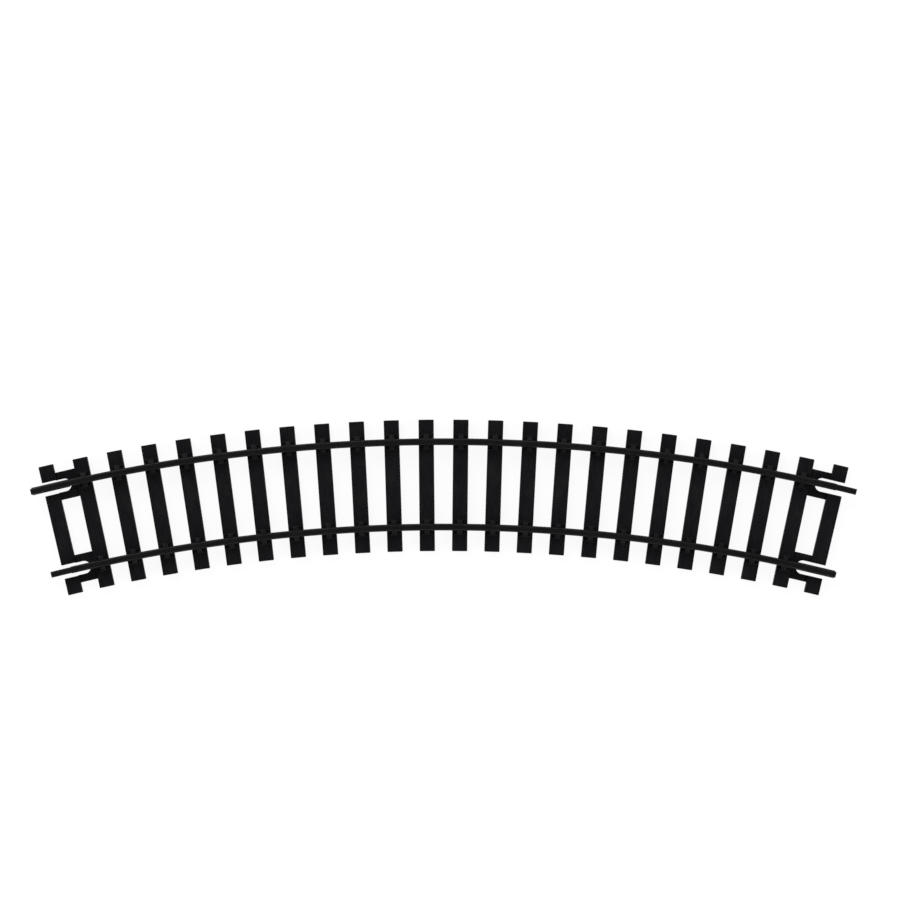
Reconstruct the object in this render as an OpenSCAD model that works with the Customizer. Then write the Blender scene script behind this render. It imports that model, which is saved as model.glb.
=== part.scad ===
// Curved section of model railway track.
//
// Two bent rails sit in moulded chairs on plastic sleepers. The sleeper at each end is slotted
// where the rails cross it, so that a fishplate can slide along the rail foot and reach over
// the joint into the slot of the next section. The rail foot is planed narrower near its ends,
// which makes a fishplate hardly wider than the rail.
//
// The track lies on z = 0 and +Z is up. It bends in the XY plane: the outer rail is on the +Y
// side and the left end on the -X side. The origin is the middle of the footprint.
// An angle along the curve is measured at the curve's centre from the +Y direction, and it is
// positive towards the right.

/* [Track] */
// Gauge: the clear width between the rail heads
gauge = 16.5; // [16.2:0.1:16.8]
// Radius of the curve, along the middle of the track
curve_radius = 347.5; // [340:0.5:620]
// Length of rail past the middle of the end sleeper
rail_overhang = 4.08; // [3.5:0.02:5]

/* [Rail section] */
// Height of the rail
rail_height = 2.54; // [2.3:0.01:2.8]
// Width of the rail head
head_width = 1.2; // [1:0.05:1.3]
// Depth of the rail head, down its side
head_depth = 0.6; // [0.5:0.05:0.8]
// Thickness of the rail's upright web
rail_web = 0.5; // [0.4:0.05:0.6]
// Width of the rail foot
foot_width = 1.43; // [1.4:0.01:1.6]
// Thickness of the rail foot at its edge
foot_edge = 0.3; // [0.25:0.01:0.35]
// Width of the rail foot near the ends of the rail, where a fishplate slides
joint_foot_width = 1.26; // [1.2:0.01:1.3]

/* [Sleepers] */
// Number of full sleepers, between the two slotted ones
sleeper_count = 22; // [8:2:22]
// Distance from one sleeper to the next, along the middle of the track
sleeper_spacing = 6.975; // [6.8:0.005:7.1]
// Length of a sleeper, across the track
sleeper_length = 27.3; // [26.5:0.05:30]
// Width of a sleeper, along the track
sleeper_width = 3.18; // [3:0.02:3.4]
// Height of a sleeper
sleeper_height = 2.1; // [1.9:0.1:2.5]
// Bevel along the top edges of a sleeper
sleeper_bevel = 0.15; // [0.05:0.05:0.3]
// How far the sleepers are set towards the inside of the curve
sleeper_shift = 0.2; // [0:0.02:0.24]

/* [Chairs] */
// Length of a chair, along the rail
chair_length = 1.8; // [1.2:0.1:2.2]
// Height of a chair above the sleeper
chair_height = 0.9; // [0.85:0.05:1]
// How far a chair reaches out from the edge of the rail foot
chair_reach = 0.95; // [0.7:0.05:1.1]
// Gap between a chair and the rail foot
chair_gap = 0.03; // [0.02:0.01:0.05]
// Size of the pocket under the rail seat, along the rail and across it
seat_pocket = [1.6, 1.1]; // [0.8:0.1:1.7]

/* [Webs] */
// Width of the web beside an end sleeper
end_web_width = 5.66; // [5:0.02:6]
// Height of the web beside an end sleeper
end_web_height = 1.6; // [1.2:0.1:1.7]
// Width of the web under a rail
rail_seat_web = 1.2; // [0.8:0.1:1.4]
// Height of the web under a rail, above the ground
rail_seat_web_top = 1.75; // [1.4:0.05:1.85]
// Clearance under the web below a rail
rail_seat_web_base = 0.4; // [0.2:0.1:0.8]

/* [Slots] */
// Width of a slot in an end sleeper
slot_width = 2.8; // [2.7:0.02:3]
// Length of a slot, from the outer face of the end sleeper to its round end
slot_length = 6; // [5.5:0.05:6.3]
// Distance between the two slots of an end sleeper
slot_spacing = 17.55; // [17.5:0.05:17.75]
// How far the slots are set towards the inside of the curve
slot_shift = 0.14; // [0:0.02:0.2]

/* [Pin holes] */
// Radius of the blind holes for track pins, under the sleepers
pin_hole_radius = 0.5; // [0.3:0.05:0.7]
// Depth of those holes
pin_hole_depth = 1.4; // [0.8:0.1:1.6]

/* [Fishplates] */
// Length of a fishplate
plate_length = 8; // [6:0.5:8.5]
// Thickness of its sheet metal
plate_sheet = 0.14; // [0.12:0.01:0.2]
// Gap between a fishplate and the rail foot
plate_gap = 0.03; // [0.02:0.01:0.05]
// How far the lips of a fishplate stay from the middle of the rail
plate_mouth = 0.42; // [0.4:0.01:0.5]
// How far a fishplate stays inside the end of the rail when it is slid home
plate_inset = 0.25; // [0.1:0.05:0.5]
// How far a fishplate slides out, over the joint
plate_travel = 4; // [2:0.5:4]

/* [Hidden] */
PLASTIC = [0.105, 0.104, 0.115];
RAIL_METAL = [0.085, 0.085, 0.088];
PLATE_METAL = [0.13, 0.125, 0.12];
PIN_HOLE_SLEEPERS = [2, sleeper_count / 2, sleeper_count - 1];

// Each rail is divided into this many lengths, which meet end to end
RAIL_PARTS = 7;

// The depth by which one shape is sunk into another that it joins, or cuts past a face
JOIN = 0.2;

// How far the top of the rail foot rises from its edge to the web, and how far the underside
// of the head falls from its edge to the web
FOOT_SLOPE = 0.15;
HEAD_SLOPE = 0.2;

// The worn top corner of the rail head, in from its side and down from its top
HEAD_CORNER = [[0, 0.16], [0.06, 0.05], [0.18, 0]];

// A chair's lip: its gap to the rail web, its bevel and the width of its top
LIP_GAP = 0.15;
LIP_BEVEL = 0.15;
LIP_TOP = 0.2;

// The outer side of a chair: the height of its edge, and the bend above that
CHAIR_EDGE = 0.25;
CHAIR_BEND = [0.45, 0.4];

// Numbers of sides for the round shapes
CURVE_SIDES = 720;
SLOT_SIDES = 96;
PIN_HOLE_SIDES = 48;

rail_offset = (gauge + head_width) / 2;
outer_rail_radius = curve_radius + rail_offset;
inner_rail_radius = curve_radius - rail_offset;
sleeper_pitch = turn(sleeper_spacing, curve_radius);
end_angle = (sleeper_count + 1) / 2 * sleeper_pitch;
rail_end_angle = end_angle + turn(rail_overhang, curve_radius);
slot_radius = slot_width / 2;
slot_end_x = sleeper_width / 2 - slot_length + slot_radius;
rail_part_angle = 2 * rail_end_angle / RAIL_PARTS;

// Length of planed rail foot at an end with a fishplate, and at an end without one
plate_end_length = plate_length + 2 * plate_inset;
bare_end_length = plate_travel + plate_inset;

// The footprint runs from the outer ends of the two middle sleepers to the inner ends of the
// end sleepers, and curve_centre_y puts its middle at the origin.
outer_reach = curve_radius - sleeper_shift + sleeper_length / 2;
inner_reach = curve_radius - sleeper_shift - sleeper_length / 2;
footprint_top = outer_reach * cos(sleeper_pitch / 2) + sleeper_width / 2 * sin(sleeper_pitch / 2);
footprint_base = inner_reach * cos(end_angle) - sleeper_width / 2 * sin(end_angle);
curve_centre_y = -(footprint_top + footprint_base) / 2;

function sleeper_name(i) = str("sleeper_", i < 10 ? "0" : "", i);

// The angle of the full sleeper with this number, from the left
function sleeper_angle(i) = (i - (sleeper_count + 1) / 2) * sleeper_pitch;

// The angle that a length of arc covers at a radius
function turn(arc, radius) = arc / radius * 180 / PI;

// Where a web meets the sleeper beside the end sleeper, whose face is one pitch askew
function neighbour_face_x(y) =
    (sleeper_width / 2 - (curve_radius + y) * sin(sleeper_pitch)) / cos(sleeper_pitch);

// Both halves of an outline that is symmetric about x = 0, from its right half
function mirrored(half) =
    concat(half, [for (i = [len(half) - 1:-1:0]) [-half[i][0], half[i][1]]]);

// ---- Placing ----

// Puts a shape drawn about the middle of the track at an angle along the curve, with +X
// along the track to the right and +Y away from the curve's centre
module on_curve(angle, radius = curve_radius) {
    translate([0, curve_centre_y, 0])
        rotate(-angle)
            translate([0, radius, 0])
                children();
}

// Stands a section up in the XZ plane and runs it along Y
module along_y(length) {
    rotate([90, 0, 0])
        linear_extrude(length, center = true)
            children();
}

// Stands a section up in the YZ plane and runs it along X
module along_x(length) {
    rotate([90, 0, 90])
        linear_extrude(length, center = true)
            children();
}

// Sweeps a section, drawn as distance from the curve's centre and height, between two angles
module along_curve(from, to) {
    translate([0, curve_centre_y, 0])
        rotate(90 - to)
            rotate_extrude(angle = to - from, $fn = CURVE_SIDES)
                children();
}

// ---- Sleepers ----

module bevelled_section(width) {
    side = width / 2;
    polygon(mirrored([
        [side, 0],
        [side, sleeper_height - sleeper_bevel],
        [side - sleeper_bevel, sleeper_height]
    ]));
}

// A plain sleeper, with its top edges bevelled all round
module sleeper_block() {
    translate([0, -sleeper_shift, 0])
        intersection() {
            along_y(sleeper_length + 2 * JOIN) bevelled_section(sleeper_width);
            along_x(sleeper_width + 2 * JOIN) bevelled_section(sleeper_length);
        }
}

// One jaw of a chair: a foot on the sleeper and a lip that leans over the rail foot.
// Its outline is drawn from the middle of the rail, above the top of the sleeper.
module chair_jaw(side) {
    face = foot_width / 2 + chair_gap;
    lip = rail_web / 2 + LIP_GAP;
    edge = face + chair_reach;
    outline = [
        [face, -JOIN],
        [face, foot_edge + chair_gap],
        [lip, foot_edge + FOOT_SLOPE + chair_gap],
        [lip, chair_height - LIP_BEVEL],
        [lip + LIP_BEVEL, chair_height],
        [lip + LIP_BEVEL + LIP_TOP, chair_height],
        [edge - CHAIR_BEND[0], CHAIR_BEND[1]],
        [edge, CHAIR_EDGE],
        [edge, -JOIN]
    ];
    along_x(chair_length)
        polygon([for (p = outline) [side * p[0], p[1]]]);
}

module sleeper(i) {
    through = sleeper_height + 2 * JOIN;
    color(PLASTIC)
        on_curve(sleeper_angle(i)) {
            difference() {
                sleeper_block();
                for (rail = [-1, 1])
                    translate([0, rail * rail_offset, sleeper_height / 2])
                        cube([seat_pocket[0], seat_pocket[1], through], center = true);
                if (len(search(i, PIN_HOLE_SLEEPERS)) > 0)
                    translate([0, -sleeper_shift, -JOIN])
                        cylinder(r = pin_hole_radius, h = pin_hole_depth + JOIN, $fn = PIN_HOLE_SIDES);
            }
            for (rail = [-1, 1], side = [-1, 1])
                translate([0, rail * rail_offset, sleeper_height])
                    chair_jaw(side);
        }
}

// ---- Webs between the sleepers ----

// Narrow webs under one rail, one in each gap between the full sleepers
module rail_webs(radius) {
    color(PLASTIC)
        difference() {
            along_curve(sleeper_angle(1), sleeper_angle(sleeper_count))
                translate([radius - rail_seat_web / 2, rail_seat_web_base])
                    square([rail_seat_web, rail_seat_web_top - rail_seat_web_base]);
            for (i = [1:sleeper_count])
                on_curve(sleeper_angle(i))
                    translate([-sleeper_width / 2, -sleeper_length / 2, 0])
                        cube([sleeper_width, sleeper_length, sleeper_height]);
        }
}

// ---- Slotted end sleepers ----

// The wide web from an end sleeper to its neighbour, around a slot centred on y
module end_web(y) {
    low = y - end_web_width / 2;
    high = y + end_web_width / 2;
    linear_extrude(end_web_height)
        polygon([
            [neighbour_face_x(low), low],
            [0, low],
            [0, high],
            [neighbour_face_x(high), high]
        ]);
}

// A slot with a round closed end, open at the outer face of the sleeper
module slot(y) {
    height = sleeper_height + 2 * JOIN;
    translate([slot_end_x, y, -JOIN]) {
        cylinder(r = slot_radius, h = height, $fn = SLOT_SIDES);
        translate([0, -slot_radius, 0])
            cube([slot_length, slot_width, height]);
    }
}

// The right end sleeper. The left one is its mirror image.
module end_sleeper(side) {
    slots = [for (rail = [-1, 1]) rail * slot_spacing / 2 - slot_shift];
    color(PLASTIC)
        mirror([side < 0 ? 1 : 0, 0, 0])
            on_curve(end_angle)
                difference() {
                    union() {
                        sleeper_block();
                        for (y = slots) end_web(y);
                    }
                    for (y = slots) slot(y);
                }
}

// ---- Rails ----

// The rail's I-section, from the middle of its foot
module rail_section() {
    head = head_width / 2;
    web = rail_web / 2;
    foot = foot_width / 2;
    polygon(mirrored(concat(
        [
            [foot, 0],
            [foot, foot_edge],
            [web, foot_edge + FOOT_SLOPE],
            [web, rail_height - head_depth - HEAD_SLOPE],
            [head, rail_height - head_depth]
        ],
        [for (p = HEAD_CORNER) [head - p[0], rail_height - p[1]]]
    )));
}

// What is planed off both edges of the rail foot, from one end of the rail
module planed_edges(radius, side, length) {
    reach = rail_end_angle + turn(JOIN, radius);
    start = rail_end_angle - turn(length, radius);
    for (edge = [-1, 1])
        along_curve(side < 0 ? -reach : start, side < 0 ? -start : reach)
            translate([radius + edge * (joint_foot_width + foot_width) / 2, sleeper_height])
                square([foot_width, 2 * (foot_edge + FOOT_SLOPE)], center = true);
}

// One length of a rail, numbered from the left. The rail has its fishplate at plate_side.
module rail_part(radius, plate_side, part) {
    start = (part - 1) * rail_part_angle - rail_end_angle;
    color(RAIL_METAL)
        difference() {
            along_curve(start, start + rail_part_angle)
                translate([radius, sleeper_height])
                    rail_section();
            planed_edges(radius, plate_side, plate_end_length);
            planed_edges(radius, -plate_side, bare_end_length);
        }
}

// ---- Fishplates ----

// Sheet metal folded round the planed rail foot, with its lips over the top of the foot
module fishplate_section() {
    inside = joint_foot_width / 2 + plate_gap;
    outside = inside + plate_sheet;
    wall_top = foot_edge + plate_gap;
    lip_base = foot_edge + FOOT_SLOPE + plate_gap;
    polygon(mirrored([
        [outside, -plate_gap - plate_sheet],
        [outside, wall_top + plate_sheet],
        [plate_mouth, lip_base + plate_sheet],
        [plate_mouth, lip_base],
        [inside, wall_top],
        [inside, -plate_gap]
    ]));
}

// A straight fishplate on a bent rail, slid home. The rail bows away from it by bow, so it
// is set over by half of that.
module fishplate(radius, side) {
    angle = rail_end_angle - turn(plate_inset + plate_length / 2, radius);
    bow = radius - sqrt(radius * radius - plate_length * plate_length / 4);
    color(PLATE_METAL)
        on_curve(side * angle, radius)
            translate([0, -bow / 2, sleeper_height])
                along_x(plate_length)
                    fishplate_section();
}

// ---- Nodes ----

for (i = [1:sleeper_count])
    sleeper(i);
end_sleeper(-1);  // end_sleeper_left
end_sleeper(1);  // end_sleeper_right
rail_webs(outer_rail_radius);  // outer_rail_webs
rail_webs(inner_rail_radius);  // inner_rail_webs
for (part = [1:RAIL_PARTS]) {
    rail_part(outer_rail_radius, -1, part);
    rail_part(inner_rail_radius, 1, part);
}
fishplate(outer_rail_radius, -1);  // fishplate_left
fishplate(inner_rail_radius, 1);  // fishplate_right
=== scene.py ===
"""Curved section of model railway track: moulded sleepers, bent rails and sliding fishplates.

Lengths are in millimetres, and scaled to metres as each mesh is made. A piece on the curve is
drawn about the middle of the track: u runs along the track to the right, v away from the
centre of the curve, and z up. An angle along the curve is measured from +Y, positive to the
right.
"""

import math

import bpy
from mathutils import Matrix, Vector, noise


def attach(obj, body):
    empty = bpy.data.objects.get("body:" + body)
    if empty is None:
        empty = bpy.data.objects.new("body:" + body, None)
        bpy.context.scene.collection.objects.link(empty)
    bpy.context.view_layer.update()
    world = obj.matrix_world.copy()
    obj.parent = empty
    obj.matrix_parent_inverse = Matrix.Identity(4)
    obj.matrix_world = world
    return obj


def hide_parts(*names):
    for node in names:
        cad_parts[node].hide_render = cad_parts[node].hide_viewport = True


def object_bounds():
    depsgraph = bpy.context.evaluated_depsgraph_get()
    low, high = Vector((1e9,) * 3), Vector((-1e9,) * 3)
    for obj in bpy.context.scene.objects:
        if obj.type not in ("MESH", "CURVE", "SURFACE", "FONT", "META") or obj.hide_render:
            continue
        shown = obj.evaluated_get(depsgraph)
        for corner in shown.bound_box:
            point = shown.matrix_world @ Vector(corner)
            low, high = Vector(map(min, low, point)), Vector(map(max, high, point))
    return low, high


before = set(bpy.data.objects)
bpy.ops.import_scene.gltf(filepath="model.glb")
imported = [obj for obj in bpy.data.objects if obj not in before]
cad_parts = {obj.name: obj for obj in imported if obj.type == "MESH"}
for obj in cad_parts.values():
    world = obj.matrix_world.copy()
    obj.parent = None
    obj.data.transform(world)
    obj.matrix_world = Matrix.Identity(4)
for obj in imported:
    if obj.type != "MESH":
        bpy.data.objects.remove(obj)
cad_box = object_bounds()

# ---------------------------------------------------------------- dimensions, as in the CAD model

MM = 0.001
CURVE_RADIUS = 347.5
RAIL_OFFSET = 8.85  # half of the gauge and one rail head
RAIL_HEIGHT = 2.54
HEAD_WIDTH = 1.2
HEAD_DEPTH = 0.6
RAIL_WEB = 0.5
FOOT_WIDTH = 1.43
FOOT_EDGE = 0.3
FOOT_SLOPE = 0.15
HEAD_SLOPE = 0.2
JOINT_FOOT_WIDTH = 1.26
RAIL_OVERHANG = 4.08
RAIL_PARTS = 7

SLEEPER_COUNT = 22
SLEEPER_SPACING = 6.975
SLEEPER_LENGTH = 27.3
SLEEPER_WIDTH = 3.18
SLEEPER_HEIGHT = 2.1
SLEEPER_SHIFT = 0.2
PIN_HOLE_SLEEPERS = (2, 11, 21)
PIN_HOLE_RADIUS = 0.5
PIN_HOLE_DEPTH = 1.4
SEAT_POCKET = (1.6, 1.1)

CHAIR_LENGTH = 1.8
CHAIR_HEIGHT = 0.9
CHAIR_REACH = 0.95
CHAIR_GAP = 0.03

END_WEB_WIDTH = 5.66
END_WEB_HEIGHT = 1.6
SEAT_WEB_WIDTH = 1.2
SEAT_WEB_TOP = 1.75
SEAT_WEB_BASE = 0.4
SLOT_WIDTH = 2.8
SLOT_LENGTH = 6.0
SLOT_SPACING = 17.55
SLOT_SHIFT = 0.14

PLATE_LENGTH = 8.0
PLATE_SHEET = 0.14
PLATE_GAP = 0.03
PLATE_MOUTH = 0.42
PLATE_INSET = 0.25
PLATE_TRAVEL = 4.0

OUTER_RADIUS = CURVE_RADIUS + RAIL_OFFSET
INNER_RADIUS = CURVE_RADIUS - RAIL_OFFSET
PITCH = SLEEPER_SPACING / CURVE_RADIUS
END_ANGLE = (SLEEPER_COUNT + 1) / 2 * PITCH
RAIL_END_ANGLE = END_ANGLE + RAIL_OVERHANG / CURVE_RADIUS

# The two middle sleepers reach furthest in +Y, which places the curve's centre on the Y axis.
MIDDLE_REACH = (CURVE_RADIUS - SLEEPER_SHIFT + SLEEPER_LENGTH / 2) * math.cos(PITCH / 2)
CURVE_Y = cad_box[1][1] / MM - MIDDLE_REACH - SLEEPER_WIDTH / 2 * math.sin(PITCH / 2)

# ---------------------------------------------------------------- outlines and meshes


def arc(centre, radius, start, end, steps):
    """Points on an arc, with its angles in degrees."""
    points = []
    for k in range(steps + 1):
        a = math.radians(start + (end - start) * k / steps)
        points.append((centre[0] + radius * math.cos(a), centre[1] + radius * math.sin(a)))
    return points


def circle(radius, steps):
    """A closed round outline about the origin."""
    return arc((0, 0), radius, 0, 360, steps)[:-1]


def rounded(corners, steps=4):
    """A closed outline from (x, y, radius) corners, each rounded to its radius."""
    outline = []
    for k, (x, y, radius) in enumerate(corners):
        here = Vector((x, y))
        if radius == 0:
            outline.append((x, y))
            continue
        before = (Vector(corners[k - 1][:2]) - here).normalized()
        after = (Vector(corners[(k + 1) % len(corners)][:2]) - here).normalized()
        half = before.angle(after) / 2
        middle = here + (before + after).normalized() * (radius / math.sin(half))
        start = here + before * (radius / math.tan(half)) - middle
        end = here + after * (radius / math.tan(half)) - middle
        turn = start.angle_signed(end)
        for step in range(steps + 1):
            a = -turn * step / steps
            x_turned = start.x * math.cos(a) - start.y * math.sin(a)
            y_turned = start.x * math.sin(a) + start.y * math.cos(a)
            outline.append(tuple(middle + Vector((x_turned, y_turned))))
    return outline


def inset(outline, distance):
    """An anticlockwise outline moved inwards by a distance."""
    moved = []
    for k, point in enumerate(outline):
        here = Vector(point)
        before = (here - Vector(outline[k - 1])).normalized()
        after = (Vector(outline[(k + 1) % len(outline)]) - here).normalized()
        normal = Vector((-before.y - after.y, before.x + after.x)).normalized()
        lean = max(0.5, normal.dot(Vector((-before.y, before.x))))
        moved.append(tuple(here + normal * (distance / lean)))
    return moved


def mirrored(half):
    """Both halves of an outline that is symmetric about x = 0, from (x, y, radius) corners."""
    return half + [(-x, y, radius) for x, y, radius in reversed(half)]


def skin(name, rings):
    """A closed mesh over rings of points, in millimetres, with a face across each end ring."""
    count = len(rings[0])
    points = [Vector(p) * MM for ring in rings for p in ring]
    faces = [tuple(reversed(range(count)))]
    for k in range(len(rings) - 1):
        low, high = k * count, (k + 1) * count
        for j in range(count):
            n = (j + 1) % count
            faces.append((low + j, low + n, high + n, high + j))
    faces.append(tuple((len(rings) - 1) * count + j for j in range(count)))
    mesh = bpy.data.meshes.new(name)
    mesh.from_pydata(points, [], faces)
    return new_object(name, mesh)


def new_object(name, mesh):
    """A mesh as an object in the scene."""
    piece = bpy.data.objects.new(name, mesh)
    bpy.context.scene.collection.objects.link(piece)
    return piece


def on_curve(angle, u, v, z, side=1):
    """The place of (u, v, z), drawn about the track's centreline, at an angle on the curve.

    With side=-1 it is mirrored to the other end of the track.
    """
    r = CURVE_RADIUS + v
    x = u * math.cos(angle) + r * math.sin(angle)
    y = r * math.cos(angle) - u * math.sin(angle)
    return (side * x, y + CURVE_Y, z)


def combined(target, tools, operation):
    """The target's mesh after a boolean with each tool in turn. The tools are removed."""
    for tool in tools:
        change = target.modifiers.new("boolean", "BOOLEAN")
        change.operation = operation
        change.solver = "MANIFOLD"
        change.object = tool
    shapes = bpy.context.evaluated_depsgraph_get()
    mesh = bpy.data.meshes.new_from_object(target.evaluated_get(shapes))
    target.modifiers.clear()
    old = target.data
    target.data = mesh
    bpy.data.meshes.remove(old)
    for tool in tools:
        bpy.data.meshes.remove(tool.data)
    return target


def finished(piece, body, slot, *nodes):
    """Shades a piece smooth up to its crease angle, and has it stand for CAD nodes on a body."""
    material, crease = FINISHES[slot]
    mesh = piece.data
    mesh.materials.clear()
    mesh.materials.append(material)
    mesh.polygons.foreach_set("material_index", [0] * len(mesh.polygons))
    mesh.polygons.foreach_set("use_smooth", [True] * len(mesh.polygons))
    mesh.set_sharp_from_angle(angle=math.radians(crease))
    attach(piece, body)
    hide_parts(*nodes)


# ---------------------------------------------------------------- sleepers

EDGE = 0.13  # rounding of a sleeper's top edges
DRAFT = 0.04  # lean of its sides
TOP_CELLS = 26
SIDE_CELLS = 5
CORNER_STEPS = 3
LENGTH_CELL = 0.28
LEAST_CELLS = 12

# The wood grain: its depth in the top and the sides, how often each layer of it repeats in a
# millimetre across a sleeper and along it, and the share of each in the depth
GRAIN_DEPTH = 0.075
SIDE_GRAIN_DEPTH = 0.03
BROAD = (1.5, 0.06)
FIBRES = (4.2, 0.16)
FINE = (9.5, 0.4)
MEAN_DEPTH = 0.34
BROAD_SHARE = 0.3
RIDGE_SHARE = 0.5
FINE_SHARE = 0.22
RIDGE_SHARPNESS = 3.2
WANDER = 0.11  # how often a fibre turns in a millimetre
WANDER_REACH = 0.9
SIDE_STRETCH = 1.3
SIDE_SHIFT = 5
SIDE_SEED = 50
EDGE_SHARE = 0.6  # of the top's grain, on its rounded edges
FADE_LEAD = 0.02  # the fading grain would be gone this far past a sleeper's ends
END_SEED = 30  # for the grain of the end sleepers

PAST = 0.5  # how far a cutter passes the face that it goes in by
WEB_SUNK = 0.12  # how far the wide webs reach into the sleepers
WEB_EDGE = ((0.1, 0.0), (0.03, 0.03), (0.0, 0.1))  # their top edge: distance down, and inset
SLOT_PLAY = 0.01  # how far a web clears the end of its slot

# The marks of the ejector pins, under a sleeper
EJECTOR_RADIUS = 0.8
EJECTOR_DEPTH = 0.06
EJECTOR_SPACING = 8.8

# A chair's jaw: its length along the rail, its setback from the edge of its base plate and its
# height there, its bend as (distance from the foot, height), and its lip over the rail foot
JAW_LENGTH = 0.62 * CHAIR_LENGTH
JAW_SETBACK = 0.12
JAW_TOE = 0.28
JAW_KNEE = (0.42, 0.42)
LIP_CLEARANCE = 0.15
LIP_WIDTH = 0.36
LIP_LEAN = 0.03

# Its base plate, the rounding of both at their ends, and how far both are sunk into the sleeper
BASE_LENGTH = 1.25 * CHAIR_LENGTH
BASE_HEIGHT = 0.13
CHAIR_EDGE = 0.05
SUNK = 0.25

# The screw heads on a base plate: their radius, their domes as (height, inset) from the sleeper,
# their distance along the rail, and their distance in from the plate's outer edge
SCREW_RADIUS = 0.19
SCREW_DOME = ((-SUNK, 0.0), (0.2, 0.0), (0.25, 0.03), (0.28, 0.09))
SCREW_SPACING = 1.56
SCREW_MARGIN = 0.34


def grain(u, v, seed):
    """Depth of the wood grain, 0 to 1: long fibres that wander, with finer ones between.

    Each layer is cut from the noise at a place of its own, so no two sleepers are alike.
    """
    line = u + noise.noise(Vector((v * WANDER, seed * 7.3, 1.7))) * WANDER_REACH

    def layer(repeats, place):
        return noise.noise(Vector((line * repeats[0], v * repeats[1], place)))

    broad = layer(BROAD, seed * 3.1)
    fibre = layer(FIBRES, seed * 5.9 + 20)
    fine = layer(FINE, seed * 2.7 + 40)
    ridge = 1 - min(1.0, abs(fibre) * RIDGE_SHARPNESS)
    depth = MEAN_DEPTH + BROAD_SHARE * broad + RIDGE_SHARE * ridge * ridge + FINE_SHARE * fine
    return min(1.0, max(0.0, depth))


def eased(edge, angles):
    """Stations round an edge, as (distance in from the end, inset), at angles of its arc."""
    return [(edge * (1 - math.cos(a)), edge * (1 - math.sin(a))) for a in angles]


def block_ring(angle, v, inset_by, low_v, high_v, seed, side):
    """One section of a sleeper, across the track at v, drawn in by inset_by at its ends."""
    half = SLEEPER_WIDTH / 2 - inset_by
    top = SLEEPER_HEIGHT - inset_by
    flat = half - DRAFT - EDGE
    fade = min(1.0, (min(v - low_v, high_v - v) + FADE_LEAD) / EDGE)

    def side_points(sign):
        points = []
        for k in range(SIDE_CELLS + 1):
            z = (top - EDGE) * k / SIDE_CELLS
            dent = 0.0
            if k:
                place = z * SIDE_STRETCH + SIDE_SHIFT * sign
                dent = SIDE_GRAIN_DEPTH * fade * grain(place, v, seed + SIDE_SEED)
            points.append((sign * (half - DRAFT * z / SLEEPER_HEIGHT - dent), z))
        for k in range(1, CORNER_STEPS + 1):
            a = math.pi / 2 * k / (CORNER_STEPS + 1)
            u = sign * (flat + EDGE * math.cos(a))
            dent = EDGE_SHARE * GRAIN_DEPTH * fade * grain(u, v, seed)
            points.append((u, top - EDGE + EDGE * math.sin(a) - dent))
        return points

    ring = side_points(1)
    for k in range(TOP_CELLS + 1):
        u = flat * (1 - 2 * k / TOP_CELLS)
        ring.append((u, top - GRAIN_DEPTH * fade * grain(u, v, seed)))
    ring += reversed(side_points(-1))
    return [on_curve(angle, u, v, z, side) for u, z in ring]


def block(name, angle, low_v, high_v, seed, side=1):
    """A piece of sleeper with wood grain and rounded top edges, from low_v to high_v."""
    cells = max(LEAST_CELLS, round((high_v - low_v) / LENGTH_CELL))
    ends = eased(EDGE, (0, 0.5, 1.0))
    stations = [(low_v + along, drop) for along, drop in ends]
    span = high_v - low_v - 2 * EDGE
    stations += [(low_v + EDGE + span * k / cells, 0.0) for k in range(cells + 1)]
    stations += [(high_v - along, drop) for along, drop in reversed(ends)]
    rings = [block_ring(angle, v, drop, low_v, high_v, seed, side) for v, drop in stations]
    if side > 0:
        rings.reverse()
    return skin(name, rings)


def prism(name, outline, stations, place):
    """A closed mesh along stations of (position, inset). place puts (x, y, position) in space."""
    rings = []
    for position, drawn_in in stations:
        section = inset(outline, drawn_in) if drawn_in else outline
        rings.append([place(x, y, position) for x, y in section])
    return skin(name, rings)


def softened(low, high, edge):
    """Stations between two ends, with the ends rounded to an edge radius."""
    turn = eased(edge, (0, 0.55, 1.1))
    start = [(low + along, drop) for along, drop in turn]
    end = [(high - along, drop) for along, drop in reversed(turn)]
    return start + [(low + edge, 0.0), (high - edge, 0.0)] + end


def chair_parts(angle, rail, side):
    """One jaw of a chair with its base plate and the two screws that seem to hold it down."""
    centre = rail * RAIL_OFFSET
    face = FOOT_WIDTH / 2 + CHAIR_GAP
    edge = face + CHAIR_REACH
    jaw_edge = edge - JAW_SETBACK
    lip = RAIL_WEB / 2 + LIP_CLEARANCE
    jaw = [
        (face, -SUNK, 0),
        (jaw_edge, -SUNK, 0),
        (jaw_edge, JAW_TOE, 0.08),
        (face + JAW_KNEE[0], JAW_KNEE[1], 0.1),
        (lip + LIP_WIDTH, CHAIR_HEIGHT, 0.07),
        (lip + LIP_LEAN, CHAIR_HEIGHT, 0.05),
        (lip, FOOT_EDGE + FOOT_SLOPE + CHAIR_GAP, 0.02),
        (face, FOOT_EDGE + CHAIR_GAP, 0.01),
    ]
    base = [
        (face, -SUNK, 0),
        (edge, -SUNK, 0),
        (edge, BASE_HEIGHT, 0.04),
        (face, BASE_HEIGHT, 0.02),
    ]

    def across_rail(x, z, u):
        return on_curve(angle, side * u, centre + side * x, SLEEPER_HEIGHT + z)

    parts = []
    for corners, length in ((jaw, JAW_LENGTH), (base, BASE_LENGTH)):
        stations = softened(-length / 2, length / 2, CHAIR_EDGE)
        parts.append(prism("chair", rounded(corners, 3), stations, across_rail))
    screw = circle(SCREW_RADIUS, 16)
    screw_v = centre + side * (edge - SCREW_MARGIN)
    for end in (-1, 1):
        screw_u = end * SCREW_SPACING / 2

        def on_base(x, y, z, screw_u=screw_u):
            return on_curve(angle, screw_u + x, screw_v + y, SLEEPER_HEIGHT + z)

        parts.append(prism("screw", screw, SCREW_DOME, on_base))
    return parts


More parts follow.
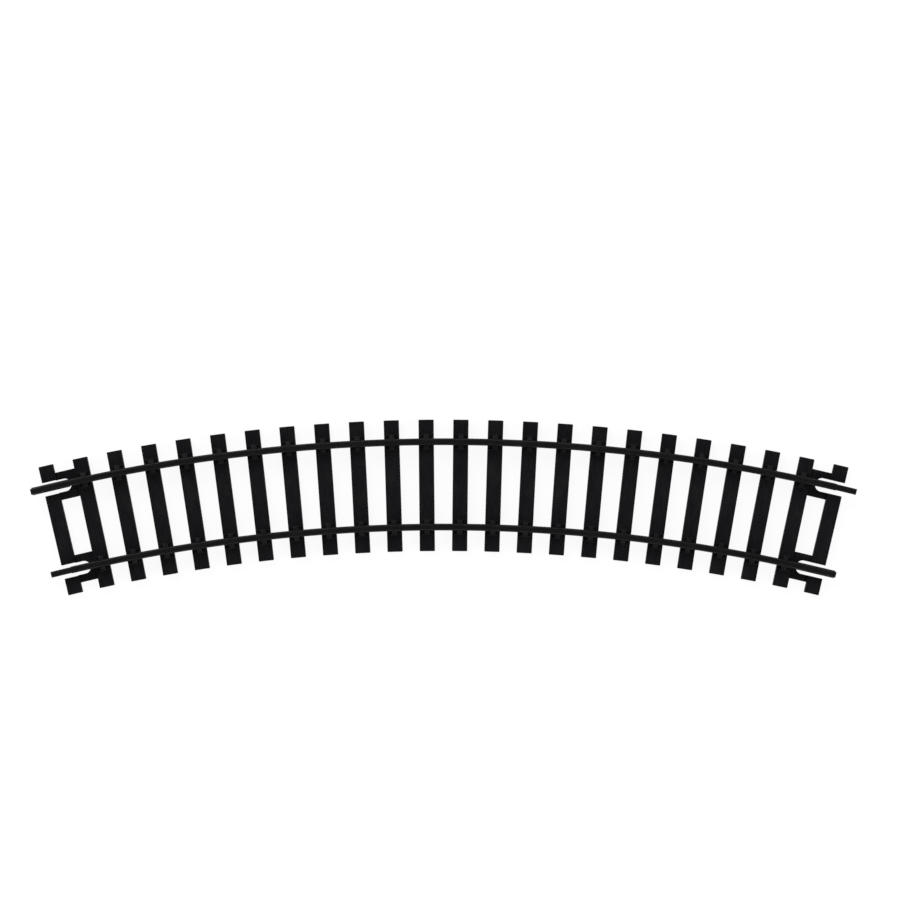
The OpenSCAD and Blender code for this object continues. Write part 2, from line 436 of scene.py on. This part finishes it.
def cutter(name, outline, angle, v, height):
    """A cutter with its middle at v, from below the sleeper up to a height."""

    def place(x, y, z):
        return on_curve(angle, x, v + y, z)

    return prism(name, outline, [(-PAST, 0.0), (height, 0.0)], place)


def pocket(angle, v):
    """A cutter for the pocket under a rail seat, right through the sleeper."""
    half_u, half_v = SEAT_POCKET[0] / 2, SEAT_POCKET[1] / 2
    outline = [(-half_u, -half_v), (half_u, -half_v), (half_u, half_v), (-half_u, half_v)]
    return cutter("pocket", outline, angle, v, SLEEPER_HEIGHT + PAST)


def drill(angle, v, radius, depth):
    """A round cutter for a blind hole in the underside."""
    return cutter("drill", circle(radius, 40), angle, v, depth)


def sleeper(number):
    """A full sleeper: grained block, four chair jaws, and the holes in its underside."""
    angle = (number - (SLEEPER_COUNT + 1) / 2) * PITCH
    middle = -SLEEPER_SHIFT
    half = SLEEPER_LENGTH / 2
    piece = block(f"moulded_sleeper_{number:02d}", angle, middle - half, middle + half, number)
    chairs = []
    for rail in (-1, 1):
        for side in (-1, 1):
            chairs += chair_parts(angle, rail, side)
    combined(piece, chairs, "UNION")
    cuts = [pocket(angle, rail * RAIL_OFFSET) for rail in (-1, 1)]
    for sign in (-1, 1):
        v = middle + sign * EJECTOR_SPACING / 2
        cuts.append(drill(angle, v, EJECTOR_RADIUS, EJECTOR_DEPTH))
    if number in PIN_HOLE_SLEEPERS:
        cuts.append(drill(angle, middle, PIN_HOLE_RADIUS, PIN_HOLE_DEPTH))
    combined(piece, cuts, "DIFFERENCE")
    return piece


def end_sleeper(side):
    """The slotted sleeper at one end, with the webs that join it to its neighbour."""
    name = "left" if side < 0 else "right"
    slots = [rail * SLOT_SPACING / 2 - SLOT_SHIFT for rail in (-1, 1)]
    radius = SLOT_WIDTH / 2
    bars = [
        (-SLEEPER_SHIFT - SLEEPER_LENGTH / 2, slots[0] - radius),
        (slots[0] + radius, slots[1] - radius),
        (slots[1] + radius, -SLEEPER_SHIFT + SLEEPER_LENGTH / 2),
    ]
    blocks = [
        block(f"moulded_end_sleeper_{name}", END_ANGLE, low, high, END_SEED + 5 * side + k, side)
        for k, (low, high) in enumerate(bars)
    ]
    webs = [end_web(slot, side) for slot in slots]
    return combined(blocks[0], blocks[1:] + webs, "UNION")


def end_web(slot, side):
    """A flat web around one slot, sunk a little into the sleepers at both ends."""
    sunk = WEB_SUNK
    radius = SLOT_WIDTH / 2 + SLOT_PLAY
    slot_end = SLEEPER_WIDTH / 2 - SLOT_LENGTH + SLOT_WIDTH / 2
    face = sunk - SLEEPER_WIDTH / 2

    def neighbour(v):
        reach = SLEEPER_WIDTH / 2 - sunk - (CURVE_RADIUS + v) * math.sin(PITCH)
        return reach / math.cos(PITCH)

    low, high = slot - END_WEB_WIDTH / 2, slot + END_WEB_WIDTH / 2
    outline = [(neighbour(low), low), (face, low), (face, slot - radius)]
    outline += arc((slot_end, slot), radius, 270, 90, 20)
    outline += [(face, slot + radius), (face, high), (neighbour(high), high)]
    if side < 0:
        outline.reverse()

    def place(x, y, z):
        return on_curve(END_ANGLE, x, y, z, side)

    stations = [(0.0, 0.0)] + [(END_WEB_HEIGHT - down, drop) for down, drop in WEB_EDGE]
    return prism("web", outline, stations, place)


def joined(name, pieces):
    """The pieces as one object. Their own objects are removed."""
    points, faces = [], []
    for piece in pieces:
        start = len(points)
        points += [Vector(v.co) for v in piece.data.vertices]
        faces += [[start + v for v in face.vertices] for face in piece.data.polygons]
        bpy.data.meshes.remove(piece.data)
    mesh = bpy.data.meshes.new(name)
    mesh.from_pydata(points, [], faces)
    return new_object(name, mesh)


def seat_webs(name, radius):
    """The narrow webs under one rail, one in each gap between full sleepers."""
    half, lean, sunk = SEAT_WEB_WIDTH / 2, 0.05, 0.05
    corners = [
        (-half + lean, SEAT_WEB_BASE, 0.1),
        (half - lean, SEAT_WEB_BASE, 0.1),
        (half, SEAT_WEB_TOP, 0.06),
        (-half, SEAT_WEB_TOP, 0.06),
    ]

    def place(x, z, along):
        return on_curve(along / radius, 0, radius + x - CURVE_RADIUS, z)

    webs = []
    reach = (PITCH * radius - SLEEPER_WIDTH) / 2 + sunk
    for gap in range(1, SLEEPER_COUNT):
        middle = (gap - SLEEPER_COUNT / 2) * PITCH * radius
        stations = [(middle - reach, 0.0), (middle + reach, 0.0)]
        webs.append(prism("web", rounded(corners), stations, place))
    return joined(name, webs)


# ---------------------------------------------------------------- rails and fishplates

RAIL_CELLS = 180  # lengths that a rail is drawn in, between its tips
EASED_END = ((0.0, 0.03), (0.01, 0.012), (0.04, 0.0))  # a cut end: distance in, and inset there
PLANED_STEP = 0.06  # run-out of the planed foot into the full one
PLATE_FLARE = 0.015  # how far the walls of a fishplate open at its mouths
PLATE_EDGE = 0.03
FLARE_LENGTH = 0.7
FLARE_STEPS = 4


def rail_section(foot_width):
    """The rail's I-section with its rolled corners, from the middle of its foot."""
    head, web, foot = HEAD_WIDTH / 2, RAIL_WEB / 2, foot_width / 2
    neck = RAIL_HEIGHT - HEAD_DEPTH
    half = [
        (foot, 0, 0.05),
        (foot, FOOT_EDGE, 0.07),
        (web, FOOT_EDGE + FOOT_SLOPE, 0.15),
        (web, neck - HEAD_SLOPE, 0.15),
        (head, neck, 0.06),
        (head, RAIL_HEIGHT, 0.2),
    ]
    return rounded(mirrored(half), 5)


def rail_tip(radius, planed_length):
    """Stations from the end of a rail to where its full foot begins, with its cut edges eased."""
    full, planed = rail_section(FOOT_WIDTH), rail_section(JOINT_FOOT_WIDTH)
    end = RAIL_END_ANGLE * radius
    stations = [(end - along, inset(planed, drop)) for along, drop in EASED_END]
    cells = round(planed_length)
    stations += [(end - planed_length * k / cells, planed) for k in range(1, cells)]
    step = end - planed_length
    return stations + [(step + PLANED_STEP, planed), (step, full)]


def rail(name, radius, plate_side):
    """A bent rail, swept along the curve, with its foot planed narrower near both ends."""
    plate_end = rail_tip(radius, PLATE_LENGTH + 2 * PLATE_INSET)
    bare_end = rail_tip(radius, PLATE_TRAVEL + PLATE_INSET)
    left, right = (plate_end, bare_end) if plate_side < 0 else (bare_end, plate_end)
    full = left[-1][1]
    low, high = -left[-1][0], right[-1][0]
    stations = [(-along, section) for along, section in left]
    stations += [(low + (high - low) * k / RAIL_CELLS, full) for k in range(1, RAIL_CELLS)]
    stations += reversed(right)
    rings = [
        [on_curve(along / radius, 0, radius + x - CURVE_RADIUS, SLEEPER_HEIGHT + z)
         for x, z in section]
        for along, section in stations
    ]
    return skin(name, rings)


def fishplate(name, radius, side):
    """Sheet metal folded round the rail foot, a little open at both mouths."""
    angle = RAIL_END_ANGLE - (PLATE_INSET + PLATE_LENGTH / 2) / radius
    bow = radius - math.sqrt(radius**2 - PLATE_LENGTH**2 / 4)
    inside = JOINT_FOOT_WIDTH / 2 + PLATE_GAP
    outside = inside + PLATE_SHEET
    lip = FOOT_EDGE + FOOT_SLOPE + PLATE_GAP
    wall = FOOT_EDGE + PLATE_GAP
    bend, tight, edge = 0.12, 0.02, 0.04
    half_section = [
        (outside, -PLATE_GAP - PLATE_SHEET, bend),
        (outside, wall + PLATE_SHEET, bend),
        (PLATE_MOUTH, lip + PLATE_SHEET, edge),
        (PLATE_MOUTH, lip, edge),
        (inside, wall, tight),
        (inside, -PLATE_GAP, tight),
    ]
    section = rounded(mirrored(half_section), 5)
    half = PLATE_LENGTH / 2
    ends = softened(-half, half, PLATE_EDGE)
    inner = [-half + FLARE_LENGTH * k / FLARE_STEPS for k in range(1, FLARE_STEPS + 1)]
    middle = [(u, 0.0) for u in inner] + [(-u, 0.0) for u in reversed(inner)]
    stations = ends[: len(ends) // 2] + middle + ends[len(ends) // 2 :]

    def place(x, z, u):
        open_by = max(0.0, abs(u) - half + FLARE_LENGTH) / FLARE_LENGTH
        wider = 1 + PLATE_FLARE * open_by**2 / outside
        v = radius - CURVE_RADIUS - bow / 2 + x * wider
        return on_curve(side * angle, u, v, SLEEPER_HEIGHT + z)

    return prism(name, section, stations, place)


# ---------------------------------------------------------------- materials

# Tints for the greys, and where the wear on a rail's top starts and is full, from the top down
COOL = (0.96, 0.96, 1.14)
WARM = (1.02, 1.0, 0.96)
PLAIN = (1.0, 1.0, 1.03)
WEAR_STARTS = 0.14
WEAR_FULL = 0.02


def add(tree, kind, links=(), **settings):
    """A shader node with its inputs set from links: (input, value or socket)."""
    made = tree.nodes.new(kind)
    for key, value in settings.items():
        setattr(made, key, value)
    for key, value in links:
        if isinstance(value, bpy.types.NodeSocket):
            tree.links.new(value, made.inputs[key])
        else:
            made.inputs[key].default_value = value
    return made


def maths(tree, operation, a, b=0.0):
    """One step of arithmetic on numbers or sockets."""
    return add(tree, "ShaderNodeMath", [(0, a), (1, b)], operation=operation).outputs[0]


def track_coordinates(tree):
    """The surface point as (length along the curve, distance from its centreline, height)."""
    here = add(tree, "ShaderNodeTexCoord").outputs["Object"]
    parts = add(tree, "ShaderNodeSeparateXYZ", [(0, here)])
    y = maths(tree, "SUBTRACT", parts.outputs["Y"], CURVE_Y * MM)
    angle = maths(tree, "ARCTAN2", parts.outputs["X"], y)
    along = maths(tree, "MULTIPLY", angle, CURVE_RADIUS)
    square = maths(tree, "ADD", maths(tree, "POWER", parts.outputs["X"], 2.0),
                   maths(tree, "POWER", y, 2.0))
    out = maths(tree, "MULTIPLY", maths(tree, "SQRT", square), 1 / MM)
    out = maths(tree, "SUBTRACT", out, CURVE_RADIUS)
    up = maths(tree, "MULTIPLY", parts.outputs["Z"], 1 / MM)
    both = add(tree, "ShaderNodeCombineXYZ", [("X", along), ("Y", out), ("Z", up)])
    return both.outputs[0], up


def streaks(tree, where, scale, detail=4.0, distortion=0.0):
    """Noise from 0 to 1. Its scale is repeats in a millimetre along the track, across it and up."""
    stretched = add(tree, "ShaderNodeVectorMath", [(0, where), (1, scale)],
                    operation="MULTIPLY").outputs[0]
    made = add(tree, "ShaderNodeTexNoise",
               [("Vector", stretched), ("Scale", 1.0), ("Detail", detail),
                ("Distortion", distortion)])
    return made.outputs["Fac"]


def ramp(tree, value, low, high, to_low, to_high):
    """Maps a value from one range to another, held at both ends."""
    made = add(tree, "ShaderNodeMapRange",
               [("Value", value), ("From Min", low), ("From Max", high),
                ("To Min", to_low), ("To Max", to_high)])
    return made.outputs["Result"]


def mixed(tree, share, dark, light):
    """Two colours mixed by a share, 0 for the first."""
    inputs = [(0, share), (6, dark), (7, light)]
    return add(tree, "ShaderNodeMix", inputs, data_type="RGBA").outputs[2]


def bumped(tree, height, strength, distance):
    """A bump node for a height, with its full depth in millimetres."""
    return add(tree, "ShaderNodeBump",
               [("Height", height), ("Strength", strength), ("Distance", distance * MM)])


def new_material(name):
    """A material with its node tree and its surface shader."""
    material = bpy.data.materials.new(name)
    material.use_nodes = True
    tree = material.node_tree
    return material, tree, tree.nodes["Principled BSDF"]


def shade(value, tint):
    """A grey of a value with a tint, as a colour with alpha."""
    return (value * tint[0], value * tint[1], value * tint[2], 1.0)


def plastic(dark, light, bloomed):
    """Moulded plastic: fine light fibres along each sleeper, and a dull bloom in places."""
    material, tree, surface = new_material("moulded_plastic")
    where, _ = track_coordinates(tree)
    fibres = streaks(tree, where, (7.0, 0.5, 5.0), 5.0, 0.4)
    patches = streaks(tree, where, (0.35, 0.22, 0.5), 3.0)
    pebble = streaks(tree, where, (22.0, 22.0, 22.0), 2.0)
    share = ramp(tree, fibres, 0.3, 0.7, 0.0, 1.0)
    colour = mixed(tree, share, shade(dark, COOL), shade(light, COOL))
    bloom = ramp(tree, patches, 0.52, 0.75, 0.0, 0.55)
    colour = mixed(tree, bloom, colour, shade(bloomed, WARM))
    tree.links.new(colour, surface.inputs["Base Color"])
    rough = maths(tree, "ADD", ramp(tree, fibres, 0.3, 0.7, 0.40, 0.54),
                  ramp(tree, patches, 0.35, 0.7, -0.05, 0.09))
    tree.links.new(rough, surface.inputs["Roughness"])
    fine = bumped(tree, fibres, 0.5, 0.05)
    grainy = bumped(tree, pebble, 0.25, 0.02)
    tree.links.new(fine.outputs[0], grainy.inputs["Normal"])
    tree.links.new(grainy.outputs[0], surface.inputs["Normal"])
    surface.inputs["Specular IOR Level"].default_value = 0.1
    return material


def blackened(name, value, tint, polish):
    """Blackened metal with drawn lines along the track. The polish is what wear did on top."""
    material, tree, surface = new_material(name)
    where, up = track_coordinates(tree)
    drawn = streaks(tree, where, (0.12, 26.0, 26.0), 3.0)
    blotch = streaks(tree, where, (0.5, 1.6, 1.6), 4.0, 0.3)
    share = ramp(tree, blotch, 0.35, 0.7, 0.0, 1.0)
    colour = mixed(tree, share, shade(value * 0.8, tint), shade(value * 1.45, tint))
    top = SLEEPER_HEIGHT + RAIL_HEIGHT
    rubbed = ramp(tree, up, top - WEAR_STARTS, top - WEAR_FULL, 0.0, polish)
    wear = maths(tree, "MULTIPLY", rubbed, ramp(tree, drawn, 0.3, 0.6, 0.55, 1.0))
    colour = mixed(tree, wear, colour, shade(2 * value, tint))
    tree.links.new(colour, surface.inputs["Base Color"])
    surface.inputs["Metallic"].default_value = 0.5
    surface.inputs["Specular IOR Level"].default_value = 0.3
    rough = maths(tree, "ADD", ramp(tree, blotch, 0.3, 0.7, 0.38, 0.50),
                  ramp(tree, drawn, 0.35, 0.65, -0.03, 0.04))
    rough = maths(tree, "SUBTRACT", rough, maths(tree, "MULTIPLY", rubbed, 0.14))
    tree.links.new(rough, surface.inputs["Roughness"])
    lines = bumped(tree, drawn, 0.35, 0.012)
    tree.links.new(lines.outputs[0], surface.inputs["Normal"])
    return material


# ---------------------------------------------------------------- camera, light and floor

# The width of the view is measured halfway up the sleepers.
LENS = 400.0
VIEW_WIDTH = 186.84
VIEW_CENTRE = (1.35, 11.94)
CLIP_END = 10.0

# The light of the sky, white below one height and dim above another, both as the sine of the
# elevation
WALL_TOP = 0.35
WALL_LIGHT = 1.05
OPENING = 0.85
OPENING_LIGHT = 0.06

FLOOR_SIZE = 24000.0
FLOOR_DROP = 0.02
FLOOR_GLOW = 0.925
WHITE = (1.0, 1.0, 1.0, 1.0)
PALE = (0.15, 0.15, 0.15, 1.0)


def camera():
    """A long lens straight above the track."""
    data = bpy.data.cameras.new("camera")
    data.lens = LENS
    made = bpy.data.objects.new("camera", data)
    bpy.context.scene.collection.objects.link(made)
    height = VIEW_WIDTH * LENS / data.sensor_width
    made.location = Vector((VIEW_CENTRE[0], VIEW_CENTRE[1], height + SLEEPER_HEIGHT / 2)) * MM
    data.clip_end = CLIP_END
    bpy.context.scene.camera = made


def sun(name, azimuth, elevation, strength, angle):
    """A soft distant light. Its azimuth is where it stands, from +X towards +Y."""
    data = bpy.data.lights.new(name, "SUN")
    data.energy = strength
    data.angle = math.radians(angle)
    made = bpy.data.objects.new(name, data)
    bpy.context.scene.collection.objects.link(made)
    a, e = math.radians(azimuth), math.radians(elevation)
    back = Vector((math.cos(a) * math.cos(e), math.sin(a) * math.cos(e), math.sin(e)))
    made.rotation_mode = "QUATERNION"
    made.rotation_quaternion = back.to_track_quat("Z", "Y")


def sky():
    """A white tent, open and dark overhead, so that flat tops look black from above."""
    world = bpy.data.worlds.new("sky")
    bpy.context.scene.world = world
    world.use_nodes = True
    tree = world.node_tree
    direction = add(tree, "ShaderNodeTexCoord").outputs["Generated"]
    height = add(tree, "ShaderNodeSeparateXYZ", [(0, direction)]).outputs["Z"]
    level = ramp(tree, height, WALL_TOP, OPENING, WALL_LIGHT, OPENING_LIGHT)
    tree.links.new(level, tree.nodes["Background"].inputs["Strength"])
    tree.nodes["Background"].inputs["Color"].default_value = WHITE


def floor():
    """A large light table just under the sleepers, which glows so that it looks white."""
    half = FLOOR_SIZE / 2
    corners = [(-half, -half), (half, -half), (half, half), (-half, half)]
    mesh = bpy.data.meshes.new("table")
    mesh.from_pydata([Vector((x, y, -FLOOR_DROP)) * MM for x, y in corners], [], [(0, 1, 2, 3)])
    made = new_object("table", mesh)
    material, tree, surface = new_material("table")
    surface.inputs["Base Color"].default_value = PALE
    surface.inputs["Roughness"].default_value = 0.9
    surface.inputs["Specular IOR Level"].default_value = 0.0
    surface.inputs["Emission Color"].default_value = WHITE
    surface.inputs["Emission Strength"].default_value = FLOOR_GLOW
    mesh.materials.append(material)


# ---------------------------------------------------------------- the scene

camera()
sky()
floor()
sun("key", azimuth=125, elevation=42, strength=0.9, angle=30)
sun("fill", azimuth=-40, elevation=34, strength=0.5, angle=45)
bpy.context.scene.view_settings.view_transform = "Standard"

# The material for each slot, and the angle in degrees above which an edge of it stays sharp
FINISHES = {
    "sleeper_plastic": (plastic(dark=0.0080, light=0.0138, bloomed=0.0180), 35),
    "rail_metal": (blackened("blackened_rail", value=0.0105, tint=PLAIN, polish=0.85), 25),
    "fishplate_metal": (blackened("blackened_sheet", value=0.016, tint=WARM, polish=0.0), 25),
}

for number in range(1, SLEEPER_COUNT + 1):
    finished(sleeper(number), "track", "sleeper_plastic", f"sleeper_{number:02d}")
finished(end_sleeper(-1), "track", "sleeper_plastic", "end_sleeper_left")
finished(end_sleeper(1), "track", "sleeper_plastic", "end_sleeper_right")
for side, radius, plate_side in (("outer", OUTER_RADIUS, -1), ("inner", INNER_RADIUS, 1)):
    parts = [f"{side}_rail_{part}" for part in range(1, RAIL_PARTS + 1)]
    finished(rail(f"bent_{side}_rail", radius, plate_side), "track", "rail_metal", *parts)
    webs = seat_webs(f"moulded_{side}_rail_webs", radius)
    finished(webs, "track", "sleeper_plastic", f"{side}_rail_webs")
for end, radius, side in (("left", OUTER_RADIUS, -1), ("right", INNER_RADIUS, 1)):
    plate = fishplate(f"folded_fishplate_{end}", radius, side)
    finished(plate, f"{end}_fishplate", "fishplate_metal", f"fishplate_{end}")
